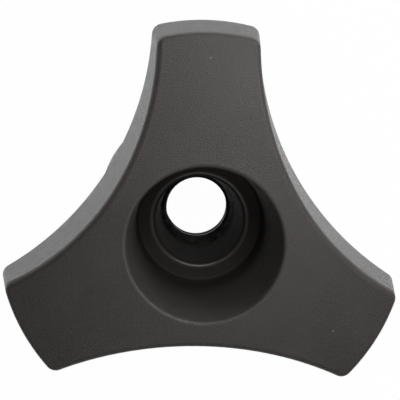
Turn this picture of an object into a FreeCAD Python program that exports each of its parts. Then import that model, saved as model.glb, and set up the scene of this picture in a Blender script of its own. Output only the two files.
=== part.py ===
import FreeCAD, Part
import math
import os

# Three-arm wing nut: a moulded handle with a thin hexagon nut set in the end of its hub.
# The origin is the centre of the seat face. +Z runs up the thread axis, out of the recess in
# the domed front, and one wing lies along +Y. Lengths are millimetres, angles are degrees.

wing_count = 3

# Wings, measured on the flat underside, which is the largest section of the moulding
wing_circle_radius = 28.0
waist_radius = 14.65
flank_radius = 40.3
wing_corner_radius = 1.5
wing_draft = 2.2
underside_height = 14.9

# Domed front
dome_top_height = 32.0
dome_radius = 57.0
front_edge_round = 0.9

# Hub
hub_seat_radius = 13.4
hub_draft = 1.0
hub_edge_chamfer = 0.5

# Recess in the front, and the stud bore that goes on from its floor to the nut
recess_mouth_radius = 10.5
recess_mouth_round = 0.5
recess_floor_height = 13.2
recess_floor_round = 0.4
stud_bore_mouth_radius = 6.1
stud_bore_mouth_round = 0.6
core_pin_draft = 6.7

# Hollows under the wings
wing_wall = 2.4
front_skin = 2.8
hollow_corner_radius = 1.2
hollow_draft = 1.0

# Thin hexagon nut, M10
nut_across_flats = 16.0
nut_height = 5.0
nut_face_diameter = 15.2
nut_face_angle = 30.0
thread_minor_radius = 4.25
countersink_radius = 5.2

# Two points nearer than this are the same place.
same_place = 0.001


def tan(angle):
    return math.tan(math.radians(angle))


def polar(radius, angle, height=0.0):
    turn = math.radians(angle)
    return FreeCAD.Vector(radius * math.cos(turn), radius * math.sin(turn), height)


def arc(centre, radius, start, end, height):
    """Arc between two angles, through the angle halfway between them."""
    angles = (start, (start + end) / 2.0, end)
    points = [centre + polar(radius, angle, height) for angle in angles]
    return Part.Arc(*points).toShape()


def angle_between(side_a, side_b, opposite):
    """Angle of a triangle between two sides, from the three lengths."""
    cosine = (side_a ** 2 + side_b ** 2 - opposite ** 2) / (2.0 * side_a * side_b)
    return math.degrees(math.acos(cosine))


def wing_outline(inset, corner_radius, height):
    """Closed outline of the wings, moved inwards by inset, at one height."""
    tip = wing_circle_radius - inset
    flank = flank_radius + inset
    flank_distance = waist_radius + flank_radius
    # A corner arc touches the tip circle from inside and the flank circle from outside, so
    # the axis, its centre and the flank's centre are a triangle with three known sides.
    corner_distance = tip - corner_radius
    reach = flank + corner_radius
    spread = angle_between(corner_distance, flank_distance, reach)
    half_flank = angle_between(reach, flank_distance, corner_distance)
    sweep = spread + half_flank
    pitch = 360.0 / wing_count
    edges = []
    for index in range(wing_count):
        wing = 90.0 + index * pitch
        valley = wing + pitch / 2.0
        near = valley - spread
        far = valley + spread
        inward = valley + 180.0
        flank_centre = polar(flank_distance, valley)
        near_corner = polar(corner_distance, near)
        far_corner = polar(corner_distance, far)
        edges.append(arc(FreeCAD.Vector(), tip, 2.0 * wing - near, near, height))
        edges.append(arc(near_corner, corner_radius, near, near + sweep, height))
        edges.append(arc(flank_centre, flank, inward + half_flank, inward - half_flank, height))
        edges.append(arc(far_corner, corner_radius, far - sweep, far, height))
    return Part.Wire(edges)


def drafted_wings(inset, corner_radius, draft):
    """Solid from the underside up past the dome, narrowing upwards."""
    narrower = tan(draft) * (dome_top_height - underside_height)
    bottom = wing_outline(inset, corner_radius, underside_height)
    top = wing_outline(inset + narrower, corner_radius, dome_top_height)
    return Part.makeLoft([bottom, top], True, True)


def dome(radius):
    """Ball whose top is the domed front, or the roof of the hollows behind it."""
    return Part.makeSphere(radius, FreeCAD.Vector(0, 0, dome_top_height - dome_radius))


def dome_height(distance):
    """Height of the domed front at a distance from the axis."""
    return dome_top_height - dome_radius + math.sqrt(dome_radius ** 2 - distance ** 2)


def cone_up(radius, height, length, draft):
    """Frustum on the axis that widens upwards."""
    place = FreeCAD.Vector(0, 0, height)
    return Part.makeCone(radius, radius + tan(draft) * length, length, place)


def edges_where(shape, holds):
    """Edges of a shape whose points all pass a test."""
    real = [edge for edge in shape.Edges if not edge.Degenerated]
    return [edge for edge in real if all(holds(point) for point in edge.discretize(5))]


def dome_edges(shape):
    """Edges that lie on the domed front."""
    centre = FreeCAD.Vector(0, 0, dome_top_height - dome_radius)
    return edges_where(
        shape, lambda point: abs((point - centre).Length - dome_radius) < same_place
    )


def circle_edges(shape, radius, height):
    """Circles round the axis with one radius, at one height."""
    def on_circle(point):
        off_radius = abs(math.hypot(point.x, point.y) - radius)
        return off_radius < same_place and abs(point.z - height) < same_place
    return edges_where(shape, on_circle)


def wings():
    """Wings with a domed front and a rounded front edge."""
    body = drafted_wings(0.0, wing_corner_radius, wing_draft).common(dome(dome_radius))
    return body.makeFillet(front_edge_round, dome_edges(body))


def wing_hollows():
    """One hollow in each wing, open below, with an even wall, skin and hub round it."""
    space = drafted_wings(wing_wall, hollow_corner_radius, hollow_draft)
    space = space.common(dome(dome_radius - front_skin))
    return space.cut(cone_up(hub_seat_radius, 0.0, dome_top_height, hub_draft))


def hub():
    """Tapered boss from the seat face up into the skin of the front."""
    length = dome_height(hub_seat_radius) - front_skin
    body = cone_up(hub_seat_radius, 0.0, length, hub_draft)
    return body.makeChamfer(hub_edge_chamfer, circle_edges(body, hub_seat_radius, 0.0))


def recess():
    """Tapered recess that opens at the front, out past the top of the dome."""
    depth = dome_height(recess_mouth_radius) - recess_floor_height
    floor_radius = recess_mouth_radius - tan(core_pin_draft) * depth
    past_dome = dome_top_height + front_edge_round - recess_floor_height
    space = cone_up(floor_radius, recess_floor_height, past_dome, core_pin_draft)
    floor_edge = circle_edges(space, floor_radius, recess_floor_height)
    return space.makeFillet(recess_floor_round, floor_edge)


def stud_bore():
    """Tapered bore from the recess floor down to the nut."""
    length = recess_floor_height - nut_height
    end_radius = stud_bore_mouth_radius - tan(core_pin_draft) * length
    return cone_up(end_radius, nut_height, length, core_pin_draft)


def nut_blank():
    """Hexagon with its corners turned down to a round face at both ends."""
    corner = nut_across_flats / 2.0 / math.cos(math.radians(30.0))
    points = [polar(corner, 60.0 * side) for side in range(7)]
    hexagon = Part.Face(Part.makePolygon(points)).extrude(FreeCAD.Vector(0, 0, nut_height))
    face_radius = nut_face_diameter / 2.0
    drop = (corner - face_radius) * tan(nut_face_angle)
    profile = Part.makePolygon([
        FreeCAD.Vector(0, 0, 0),
        FreeCAD.Vector(face_radius, 0, 0),
        FreeCAD.Vector(corner, 0, drop),
        FreeCAD.Vector(corner, 0, nut_height - drop),
        FreeCAD.Vector(face_radius, 0, nut_height),
        FreeCAD.Vector(0, 0, nut_height),
        FreeCAD.Vector(0, 0, 0),
    ])
    turned = Part.Face(profile).revolve(FreeCAD.Vector(), FreeCAD.Vector(0, 0, 1), 360)
    return hexagon.common(turned)


def hexagon_nut():
    """Nut with its hole at the thread's minor diameter, countersunk at both ends."""
    sink = countersink_radius - thread_minor_radius
    upper_place = FreeCAD.Vector(0, 0, nut_height - sink)
    hole = Part.makeCylinder(thread_minor_radius, nut_height)
    lower = Part.makeCone(countersink_radius, thread_minor_radius, sink)
    upper = Part.makeCone(thread_minor_radius, countersink_radius, sink, upper_place)
    return nut_blank().cut(hole.fuse([lower, upper]))


def wing_handle():
    """Handle moulded round the nut, which its plastic grips on the flats and both chamfers."""
    body = wings().cut(wing_hollows()).fuse(hub()).removeSplitter()
    body = body.cut(recess().fuse(stud_bore()))
    mouth = circle_edges(body, recess_mouth_radius, dome_height(recess_mouth_radius))
    body = body.makeFillet(recess_mouth_round, mouth)
    bore_mouth = circle_edges(body, stud_bore_mouth_radius, recess_floor_height)
    body = body.makeFillet(stud_bore_mouth_round, bore_mouth)
    return body.cut(nut_blank())


def main():
    os.makedirs("parts", exist_ok=True)
    pieces = {"wing_handle": wing_handle(), "hexagon_nut": hexagon_nut()}
    for name, shape in pieces.items():
        shape.exportStep("parts/" + name + ".step")
        print(name, "solids", len(shape.Solids), "valid", shape.isValid())


main()
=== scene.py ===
import math
import bmesh
import bpy
from mathutils import Euler, Matrix, Vector


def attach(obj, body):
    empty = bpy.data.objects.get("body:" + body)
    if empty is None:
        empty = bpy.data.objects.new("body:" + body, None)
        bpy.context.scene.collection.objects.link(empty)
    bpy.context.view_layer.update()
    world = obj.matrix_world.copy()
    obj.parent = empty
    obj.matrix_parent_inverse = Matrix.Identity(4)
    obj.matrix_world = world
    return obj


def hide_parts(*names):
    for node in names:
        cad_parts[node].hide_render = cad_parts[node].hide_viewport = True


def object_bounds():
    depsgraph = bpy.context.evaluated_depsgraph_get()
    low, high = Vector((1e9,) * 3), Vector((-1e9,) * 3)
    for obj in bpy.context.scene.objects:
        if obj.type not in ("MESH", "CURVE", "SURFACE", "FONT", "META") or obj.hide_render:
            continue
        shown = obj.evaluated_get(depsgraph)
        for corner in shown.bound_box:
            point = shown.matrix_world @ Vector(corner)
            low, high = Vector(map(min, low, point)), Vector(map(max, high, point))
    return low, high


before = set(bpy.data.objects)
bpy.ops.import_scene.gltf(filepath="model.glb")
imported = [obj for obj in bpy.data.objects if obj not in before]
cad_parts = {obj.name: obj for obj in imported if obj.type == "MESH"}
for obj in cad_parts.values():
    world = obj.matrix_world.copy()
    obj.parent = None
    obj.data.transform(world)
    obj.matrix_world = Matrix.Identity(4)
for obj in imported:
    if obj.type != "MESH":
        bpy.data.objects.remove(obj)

cadLow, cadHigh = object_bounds()
mm = 0.001


# A socket that Python's operators work on: each operator adds its Math node.
class Shade:
    def __init__(self, finish, socket):
        self.finish = finish
        self.socket = socket

    def maths(self, operation, first, second=0.0):
        return self.finish.node("ShaderNodeMath", {"operation": operation}, {0: first, 1: second})

    def __add__(self, other):
        return self.maths("ADD", self, other)

    __radd__ = __add__

    def __sub__(self, other):
        return self.maths("SUBTRACT", self, other)

    def __rsub__(self, other):
        return self.maths("SUBTRACT", other, self)

    def __mul__(self, other):
        return self.maths("MULTIPLY", self, other)

    __rmul__ = __mul__

    def __abs__(self):
        return self.maths("ABSOLUTE", self)

    def larger(self, other):
        return self.maths("MAXIMUM", self, other)


# The node tree of one material or world.
class Finish:
    def __init__(self, owner):
        owner.use_nodes = True
        self.owner = owner
        self.tree = owner.node_tree
        self.tree.nodes.clear()

    # Adds one node: its settings first, then the values or links of its inputs.
    def node(self, kind, settings=None, inputs=None, output=0):
        made = self.tree.nodes.new(kind)
        for key, value in (settings or {}).items():
            setattr(made, key, value)
        for key, value in (inputs or {}).items():
            if isinstance(value, Shade):
                self.tree.links.new(value.socket, made.inputs[key])
            else:
                made.inputs[key].default_value = value
        return Shade(self, made.outputs[output]) if made.outputs else None

    # Object coordinates in millimetres.
    def place(self):
        objectPlace = self.node("ShaderNodeTexCoord", output="Object")
        scaled = {"operation": "SCALE"}
        return self.node("ShaderNodeVectorMath", scaled, {0: objectPlace, "Scale": 1.0 / mm})

    def length(self, vector):
        return self.node("ShaderNodeVectorMath", {"operation": "LENGTH"}, {0: vector}, "Value")

    def distance(self, vector, point):
        settings = {"operation": "DISTANCE"}
        return self.node("ShaderNodeVectorMath", settings, {0: vector, 1: point}, "Value")

    def flatten(self, vector):
        settings = {"operation": "MULTIPLY"}
        return self.node("ShaderNodeVectorMath", settings, {0: vector, 1: (1.0, 1.0, 0.0)})

    def noise(self, vector, scale, detail=2.0, roughness=0.5):
        inputs = {"Vector": vector, "Scale": scale, "Detail": detail, "Roughness": roughness}
        return self.node("ShaderNodeTexNoise", {"normalize": True}, inputs)

    # 0 below low, 1 above high, and a smooth ramp between.
    def step(self, value, low, high):
        inputs = {"Value": value, "From Min": low, "From Max": high}
        return self.node("ShaderNodeMapRange", {"interpolation_type": "SMOOTHSTEP"}, inputs)

    def blend(self, factor, first, second):
        inputs = {"Factor": factor, 6: first, 7: second}
        return self.node("ShaderNodeMix", {"data_type": "RGBA"}, inputs, 2)

    def mix(self, factor, first, second):
        return self.node("ShaderNodeMixShader", {}, {0: factor, 1: first, 2: second})

    def bump(self, height, distance):
        return self.node("ShaderNodeBump", {}, {"Height": height, "Distance": distance})

    def ray(self, kind):
        return self.node("ShaderNodeLightPath", output=kind)

    def output(self, shader, kind="ShaderNodeOutputMaterial"):
        self.node(kind, {}, {"Surface": shader})


# Moulded handle: lengths in millimetres, scales per millimetre.

handleValues = {
    "colour": (0.033, 0.028, 0.0252, 1.0),
    "paleColour": (0.05, 0.0428, 0.0387, 1.0),
    "boreColour": (0.028, 0.0248, 0.0228, 1.0),
    "paleBoreColour": (0.056, 0.0496, 0.0457, 1.0),
    "speckColour": (0.2, 0.195, 0.19, 1.0),
    "refraction": 1.6,
    "roughness": 0.4,
    "sparkle": 1.0,
    "grainScale": 5.0,
    "fineGrainRatio": 2.3,
    "coarseShare": 0.6,
    "grainDepth": 0.13,
    "sideGrain": 7.0,
    "sidePolish": 0.14,
    "sideWallDepths": (0.5, 1.2),
    "cloudScale": 0.16,
    "cloudRange": (0.3, 0.75),
    "toneShare": 0.4,
    "speckScale": 0.24,
    "speckStrength": 0.8,
    "speckRadii": (0.025, 0.045),
    "boreRefraction": 1.24,
    "boreRoughness": 0.62,
    "studBoreRadius": 6.0,
    "studBoreBlur": 0.3,
    "studBoreDullness": 0.2,
    "studBoreShade": 0.5,
    "rippleScale": 0.5,
    "rippleDepth": 0.1,
    "lipRefraction": 1.56,
    "lipRoughness": 0.36,
    "lipRadius": 6.5,
    "lipHeight": 12.2,
    "lipRise": 0.4,
    "lipHalfWidths": (0.12, 0.42),
    "recessRadius": 10.5,
    "domeTop": 32.0,
    "domeRadius": 57.0,
    "wingCircleRadius": 28.0,
    "undersideHeight": 14.9,
    "flankRadius": 40.3,
    "flankCentreRadius": 54.95,
    "flankTurns": (30.0, 150.0, 270.0),
    "skin": 1.3,
    "maskBlur": 0.2,
}


# 1 on the grained outer faces, 0 in the recess, the stud bore and the hollows.
def grainedFaces(finish, place, fromAxis, fromDomeCentre, height):
    values = handleValues
    skin = values["skin"]
    blur = values["maskBlur"]
    domeStart = values["domeRadius"] - skin
    tipStart = values["wingCircleRadius"] - skin
    flankEnd = values["flankRadius"] + skin
    hubTop = values["undersideHeight"]
    recess = values["recessRadius"]
    grained = finish.step(fromDomeCentre, domeStart - blur, domeStart)
    grained = grained.larger(finish.step(fromAxis, tipStart - blur, tipStart))
    for turn in values["flankTurns"]:
        centre = Vector((values["flankCentreRadius"], 0.0, 0.0))
        centre.rotate(Euler((0.0, 0.0, math.radians(turn))))
        fromFlank = finish.distance(finish.flatten(place), centre)
        grained = grained.larger(1.0 - finish.step(fromFlank, flankEnd, flankEnd + blur))
    grained = grained.larger(1.0 - finish.step(height, hubTop - blur, hubTop - 0.05))
    return grained * finish.step(fromAxis, recess - blur, recess + blur)


def grainedPlastic(finish, place, fromDomeCentre, cloud):
    values = handleValues
    coarse = finish.noise(place, values["grainScale"], 3.0, 0.65)
    fine = finish.noise(place, values["grainScale"] * values["fineGrainRatio"], 2.0, 0.5)
    grain = coarse * values["coarseShare"] + fine * (1.0 - values["coarseShare"])
    share = values["toneShare"]
    tone = finish.step(cloud, *values["cloudRange"]) * share + grain * share
    colour = finish.blend(tone, values["colour"], values["paleColour"])
    speck = finish.node("ShaderNodeTexVoronoi", {}, {"Vector": place, "Scale": values["speckScale"]})
    dust = 1.0 - finish.step(speck, *values["speckRadii"])
    dome = values["domeRadius"]
    shallow, deep = values["sideWallDepths"]
    sideWall = 1.0 - finish.step(fromDomeCentre, dome - deep, dome - shallow)
    relief = grain * (1.0 + sideWall * values["sideGrain"])
    rough = values["roughness"] + (fine - 0.5) * values["sparkle"] - sideWall * values["sidePolish"]
    return finish.node("ShaderNodeBsdfPrincipled", {}, {
        "Base Color": finish.blend(dust * values["speckStrength"], colour, values["speckColour"]),
        "Roughness": rough,
        "IOR": values["refraction"],
        "Normal": finish.bump(relief, values["grainDepth"] * mm),
    })


# Plain moulded plastic. Painted shade darkens the colour inside the stud bore, and a painted
# highlight on the lip of the stud bore gives it a paler colour with a glossier finish.
def borePlastic(finish, place, fromAxis, height, cloud):
    values = handleValues
    bump = finish.bump(finish.noise(place, values["rippleScale"]), values["rippleDepth"] * mm)
    bore = values["studBoreRadius"]
    inStudBore = 1.0 - finish.step(fromAxis, bore, bore + values["studBoreBlur"])
    # Painted shade: the colour is darker inside the stud bore.
    tone = cloud * (1.0 - inStudBore * values["studBoreShade"])
    plain = finish.node("ShaderNodeBsdfPrincipled", {}, {
        "Base Color": finish.blend(tone, values["boreColour"], values["paleBoreColour"]),
        "Roughness": values["boreRoughness"] + inStudBore * values["studBoreDullness"],
        "IOR": values["boreRefraction"],
        "Normal": bump,
    })
    # Painted highlight: the lip gets the paler colour, with lower roughness and a higher IOR.
    paintedHighlightLip = finish.node("ShaderNodeBsdfPrincipled", {}, {
        "Base Color": values["paleColour"],
        "Roughness": values["lipRoughness"],
        "IOR": values["lipRefraction"],
        "Normal": bump,
    })
    lipHeight = values["lipHeight"]
    fromLip = abs(fromAxis - values["lipRadius"])
    onLip = 1.0 - finish.step(fromLip, *values["lipHalfWidths"])
    onLip = onLip * finish.step(height, lipHeight, lipHeight + values["lipRise"])
    return finish.mix(onLip, plain, paintedHighlightLip)


def handlePlastic():
    values = handleValues
    finish = Finish(bpy.data.materials.new("handlePlastic"))
    place = finish.place()
    fromAxis = finish.length(finish.flatten(place))
    fromDomeCentre = finish.distance(place, (0.0, 0.0, values["domeTop"] - values["domeRadius"]))
    height = finish.node("ShaderNodeSeparateXYZ", {}, {0: place}, "Z")
    cloud = finish.noise(place, values["cloudScale"], 3.0, 0.55)
    inside = borePlastic(finish, place, fromAxis, height, cloud)
    outside = grainedPlastic(finish, place, fromDomeCentre, cloud)
    grained = grainedFaces(finish, place, fromAxis, fromDomeCentre, height)
    finish.output(finish.mix(grained, inside, outside))
    return finish.owner


def dressHandle():
    material = handlePlastic()
    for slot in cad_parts["wing_handle"].material_slots:
        slot.material = material
    print("handle dressed")


# Nut, in millimetres: a hexagon prism cut by a turned blank and a tap.

nutValues = {
    "acrossFlats": 16.0,
    "height": 5.0,
    "faceDiameter": 15.2,
    "faceAngle": 30.0,
    "edgeRound": 0.12,
    "sinkRadius": 5.2,
    "sinkAngle": 40.0,
    "crestRadius": 4.2,
    "rootRadius": 5.02,
    "pitch": 1.5,
    "crestFlat": 0.3,
    "rootFlat": 0.19,
    "tappingAllowance": 0.2,
    "stepsPerTurn": 72,
    "turningSteps": 96,
    "blankRatio": 0.62,
    "smoothAngle": 24.0,
    "colour": (0.06, 0.057, 0.055, 1.0),
    "wornColour": (0.13, 0.124, 0.118, 1.0),
    "roughness": 0.36,
    "roughPatches": 0.15,
    "patchScale": 0.9,
    "wornRange": (0.35, 0.7),
    "ringShare": 0.7,
    "ringScale": 9.0,
    "markDepth": 0.02,
}


def meshObject(name, work):
    bmesh.ops.recalc_face_normals(work, faces=work.faces)
    mesh = bpy.data.meshes.new(name)
    work.to_mesh(mesh)
    work.free()
    made = bpy.data.objects.new(name, mesh)
    bpy.context.scene.collection.objects.link(made)
    return made


def cut(body, tool, operation):
    modifier = body.modifiers.new(operation, "BOOLEAN")
    modifier.object = tool
    modifier.operation = operation
    modifier.solver = "EXACT"
    graph = bpy.context.evaluated_depsgraph_get()
    result = bpy.data.meshes.new_from_object(body.evaluated_get(graph))
    body.modifiers.clear()
    body.data = result
    bpy.data.objects.remove(tool)


# Joins (radius, height) points into the profile that a spin turns about the axis.
def profile(work, points):
    corners = [work.verts.new(Vector((radius, 0.0, height)) * mm) for radius, height in points]
    return [work.edges.new(pair) for pair in zip(corners, corners[1:])]


def hexagonPrism():
    values = nutValues
    work = bmesh.new()
    corner = values["acrossFlats"] / math.sqrt(3.0) * mm
    bmesh.ops.create_circle(work, segments=6, radius=corner, cap_ends=True)
    bmesh.ops.rotate(work, verts=work.verts, matrix=Matrix.Rotation(math.radians(30.0), 3, "Z"))
    made = bmesh.ops.extrude_face_region(work, geom=work.faces[:])
    lifted = [item for item in made["geom"] if isinstance(item, bmesh.types.BMVert)]
    bmesh.ops.translate(work, verts=lifted, vec=(0.0, 0.0, values["height"] * mm))
    sides = [edge for edge in work.edges if abs(edge.verts[0].co.z - edge.verts[1].co.z) > mm]
    bmesh.ops.bevel(work, geom=sides, offset=values["edgeRound"] * mm, offset_type="OFFSET",
                    segments=2, profile=0.5, affect="EDGES", material=-1)
    return meshObject("nutVisual", work)


def turnedBlank():
    values = nutValues
    height = values["height"]
    face = values["faceDiameter"] / 2.0
    beyond = values["acrossFlats"] * values["blankRatio"]
    drop = (beyond - face) * math.tan(math.radians(values["faceAngle"]))
    sink = values["sinkRadius"]
    bore = values["crestRadius"] - values["tappingAllowance"]
    depth = (sink - bore) / math.tan(math.radians(values["sinkAngle"]))
    points = [(bore, depth), (sink, 0.0), (face, 0.0), (beyond, drop), (beyond, height - drop),
              (face, height), (sink, height), (bore, height - depth), (bore, depth)]
    work = bmesh.new()
    bmesh.ops.spin(work, geom=profile(work, points), cent=(0.0, 0.0, 0.0), axis=(0.0, 0.0, 1.0),
                   angle=math.tau, steps=values["turningSteps"], use_merge=True)
    bmesh.ops.remove_doubles(work, verts=work.verts, dist=0.001 * mm)
    return meshObject("turnedBlank", work)


# A right-hand screw with a profile one pitch high, run from below the nut to above it.
def tap():
    values = nutValues
    pitch = values["pitch"]
    crest = values["crestRadius"]
    root = values["rootRadius"]
    slope = (pitch - values["crestFlat"] - values["rootFlat"]) / 2.0
    start = -2.0 * pitch
    points = [(crest, start), (crest, start + values["crestFlat"]),
              (root, start + values["crestFlat"] + slope), (root, start + pitch - slope),
              (crest, start + pitch)]
    turns = math.ceil(values["height"] / pitch) + 3
    steps = values["stepsPerTurn"]
    rise = Vector((0.0, 0.0, pitch / steps * mm))
    work = bmesh.new()
    bmesh.ops.spin(work, geom=profile(work, points), cent=(0.0, 0.0, 0.0), axis=(0.0, 0.0, 1.0),
                   dvec=rise, angle=math.tau * turns, steps=steps * turns)
    bmesh.ops.remove_doubles(work, verts=work.verts, dist=0.002 * mm)
    bmesh.ops.holes_fill(work, edges=[edge for edge in work.edges if edge.is_boundary], sides=0)
    return meshObject("tap", work)


def nutSteel():
    values = nutValues
    finish = Finish(bpy.data.materials.new("nutSteel"))
    place = finish.place()
    fromAxis = finish.length(finish.flatten(place))
    rings = finish.node("ShaderNodeCombineXYZ", {}, {"X": fromAxis})
    turning = finish.noise(rings, values["ringScale"], 2.0, 0.6)
    patch = finish.noise(place, values["patchScale"], 3.0, 0.6)
    worn = finish.step(patch, *values["wornRange"])
    marks = turning * values["ringShare"] + patch * (1.0 - values["ringShare"])
    finish.output(finish.node("ShaderNodeBsdfPrincipled", {}, {
        "Base Color": finish.blend(worn, values["colour"], values["wornColour"]),
        "Metallic": 1.0,
        "Roughness": values["roughness"] + patch * values["roughPatches"],
        "Normal": finish.bump(marks, values["markDepth"] * mm),
    }))
    return finish.owner


def makeNut():
    nut = hexagonPrism()
    cut(nut, turnedBlank(), "INTERSECT")
    cut(nut, tap(), "DIFFERENCE")
    nut.data.materials.clear()
    nut.data.materials.append(nutSteel())
    nut.data.shade_smooth()
    nut.data.set_sharp_from_angle(angle=math.radians(nutValues["smoothAngle"]))
    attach(nut, "root")
    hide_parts("hexagon_nut")
    print("nut threaded, with", len(nut.data.polygons), "faces")


# Floor: white to look at with a faint shadow, and reflected white only near the object.

floorValues = {
    "size": 4.0,
    "gap": 0.1,
    "colour": (0.8, 0.8, 0.8, 1.0),
    "farColour": (0.12, 0.12, 0.12, 1.0),
    "whiteShare": 0.985,
    "glowRadii": (48.0, 70.0),
}


def floorFinish():
    values = floorValues
    finish = Finish(bpy.data.materials.new("paleFloor"))
    nearby = 1.0 - finish.step(finish.length(finish.place()), *values["glowRadii"])
    glossy = finish.ray("Is Glossy Ray")
    seen = finish.ray("Is Camera Ray").larger(glossy * nearby)
    seen = seen.larger(finish.ray("Is Transmission Ray"))
    tone = finish.blend(glossy * (1.0 - nearby), values["colour"], values["farColour"])
    matt = finish.node("ShaderNodeBsdfDiffuse", {}, {"Color": tone})
    white = finish.node("ShaderNodeEmission", {}, {"Color": (1.0, 1.0, 1.0, 1.0), "Strength": 1.0})
    finish.output(finish.mix(seen * values["whiteShare"], matt, white))
    return finish.owner


def layFloor():
    values = floorValues
    work = bmesh.new()
    bmesh.ops.create_grid(work, x_segments=1, y_segments=1, size=values["size"] / 2.0)
    floor = meshObject("floor", work)
    floor.data.materials.append(floorFinish())
    floor.location.z = -values["gap"] * mm


# Lights: power in watts, lengths in metres, turn in degrees from +Y towards -X.

worldStrength = 0.176
lampDistance = 0.42
lampValues = {
    "keyLamp": {"power": 0.5, "size": 0.18, "elevation": 60.0, "turn": -10.0},
    "fillLamp": {"power": 0.38, "size": 0.3, "elevation": 35.0, "turn": -95.0},
    "rimLamp": {"power": 0.98, "size": 0.2, "elevation": 20.0, "turn": -30.0},
    "lowLamp": {"power": 0.33, "size": 0.3, "elevation": 50.0, "turn": 168.0},
}


def lightWorld():
    finish = Finish(bpy.data.worlds.new("studio"))
    strength = finish.ray("Is Camera Ray") * (1.0 - worldStrength) + worldStrength
    background = finish.node("ShaderNodeBackground", {}, {"Strength": strength})
    finish.output(background, "ShaderNodeOutputWorld")
    bpy.context.scene.world = finish.owner


def hangLamp(name, values):
    lamp = bpy.data.lights.new(name, "AREA")
    lamp.shape = "SQUARE"
    lamp.size = values["size"]
    lamp.energy = values["power"]
    up = math.radians(values["elevation"])
    side = math.radians(values["turn"])
    towards = Vector((-math.sin(side) * math.cos(up), math.cos(side) * math.cos(up), math.sin(up)))
    holder = bpy.data.objects.new(name, lamp)
    holder.location = (cadLow + cadHigh) / 2.0 + towards * lampDistance
    holder.rotation_euler = towards.to_track_quat("Z", "Y").to_euler()
    bpy.context.scene.collection.objects.link(holder)


# Camera: angles in degrees, everything else in millimetres.

cameraValues = {
    "turn": (-10.7, -2.38, 1.78),
    "offset": (-0.69, 6.22),
    "distance": 531.2,
    "aimHeight": 32.0,
    "lens": 360.0,
    "sensor": 36.0,
}


def placeCamera():
    values = cameraValues
    data = bpy.data.cameras.new("camera")
    data.sensor_width = values["sensor"]
    data.lens = values["lens"]
    data.clip_start = 0.01
    data.clip_end = 10.0
    camera = bpy.data.objects.new("camera", data)
    camera.rotation_euler = [math.radians(angle) for angle in values["turn"]]
    across, upwards = values["offset"]
    back = Vector((across, upwards, values["distance"])) * mm
    aim = Vector((0.0, 0.0, values["aimHeight"] * mm))
    camera.location = aim + camera.rotation_euler.to_matrix() @ back
    bpy.context.scene.collection.objects.link(camera)
    bpy.context.scene.camera = camera


dressHandle()
makeNut()
layFloor()
lightWorld()
for lampName, lampSettings in lampValues.items():
    hangLamp(lampName, lampSettings)
placeCamera()
bpy.context.scene.view_settings.view_transform = "Standard"
print("floor, lights and camera ready")
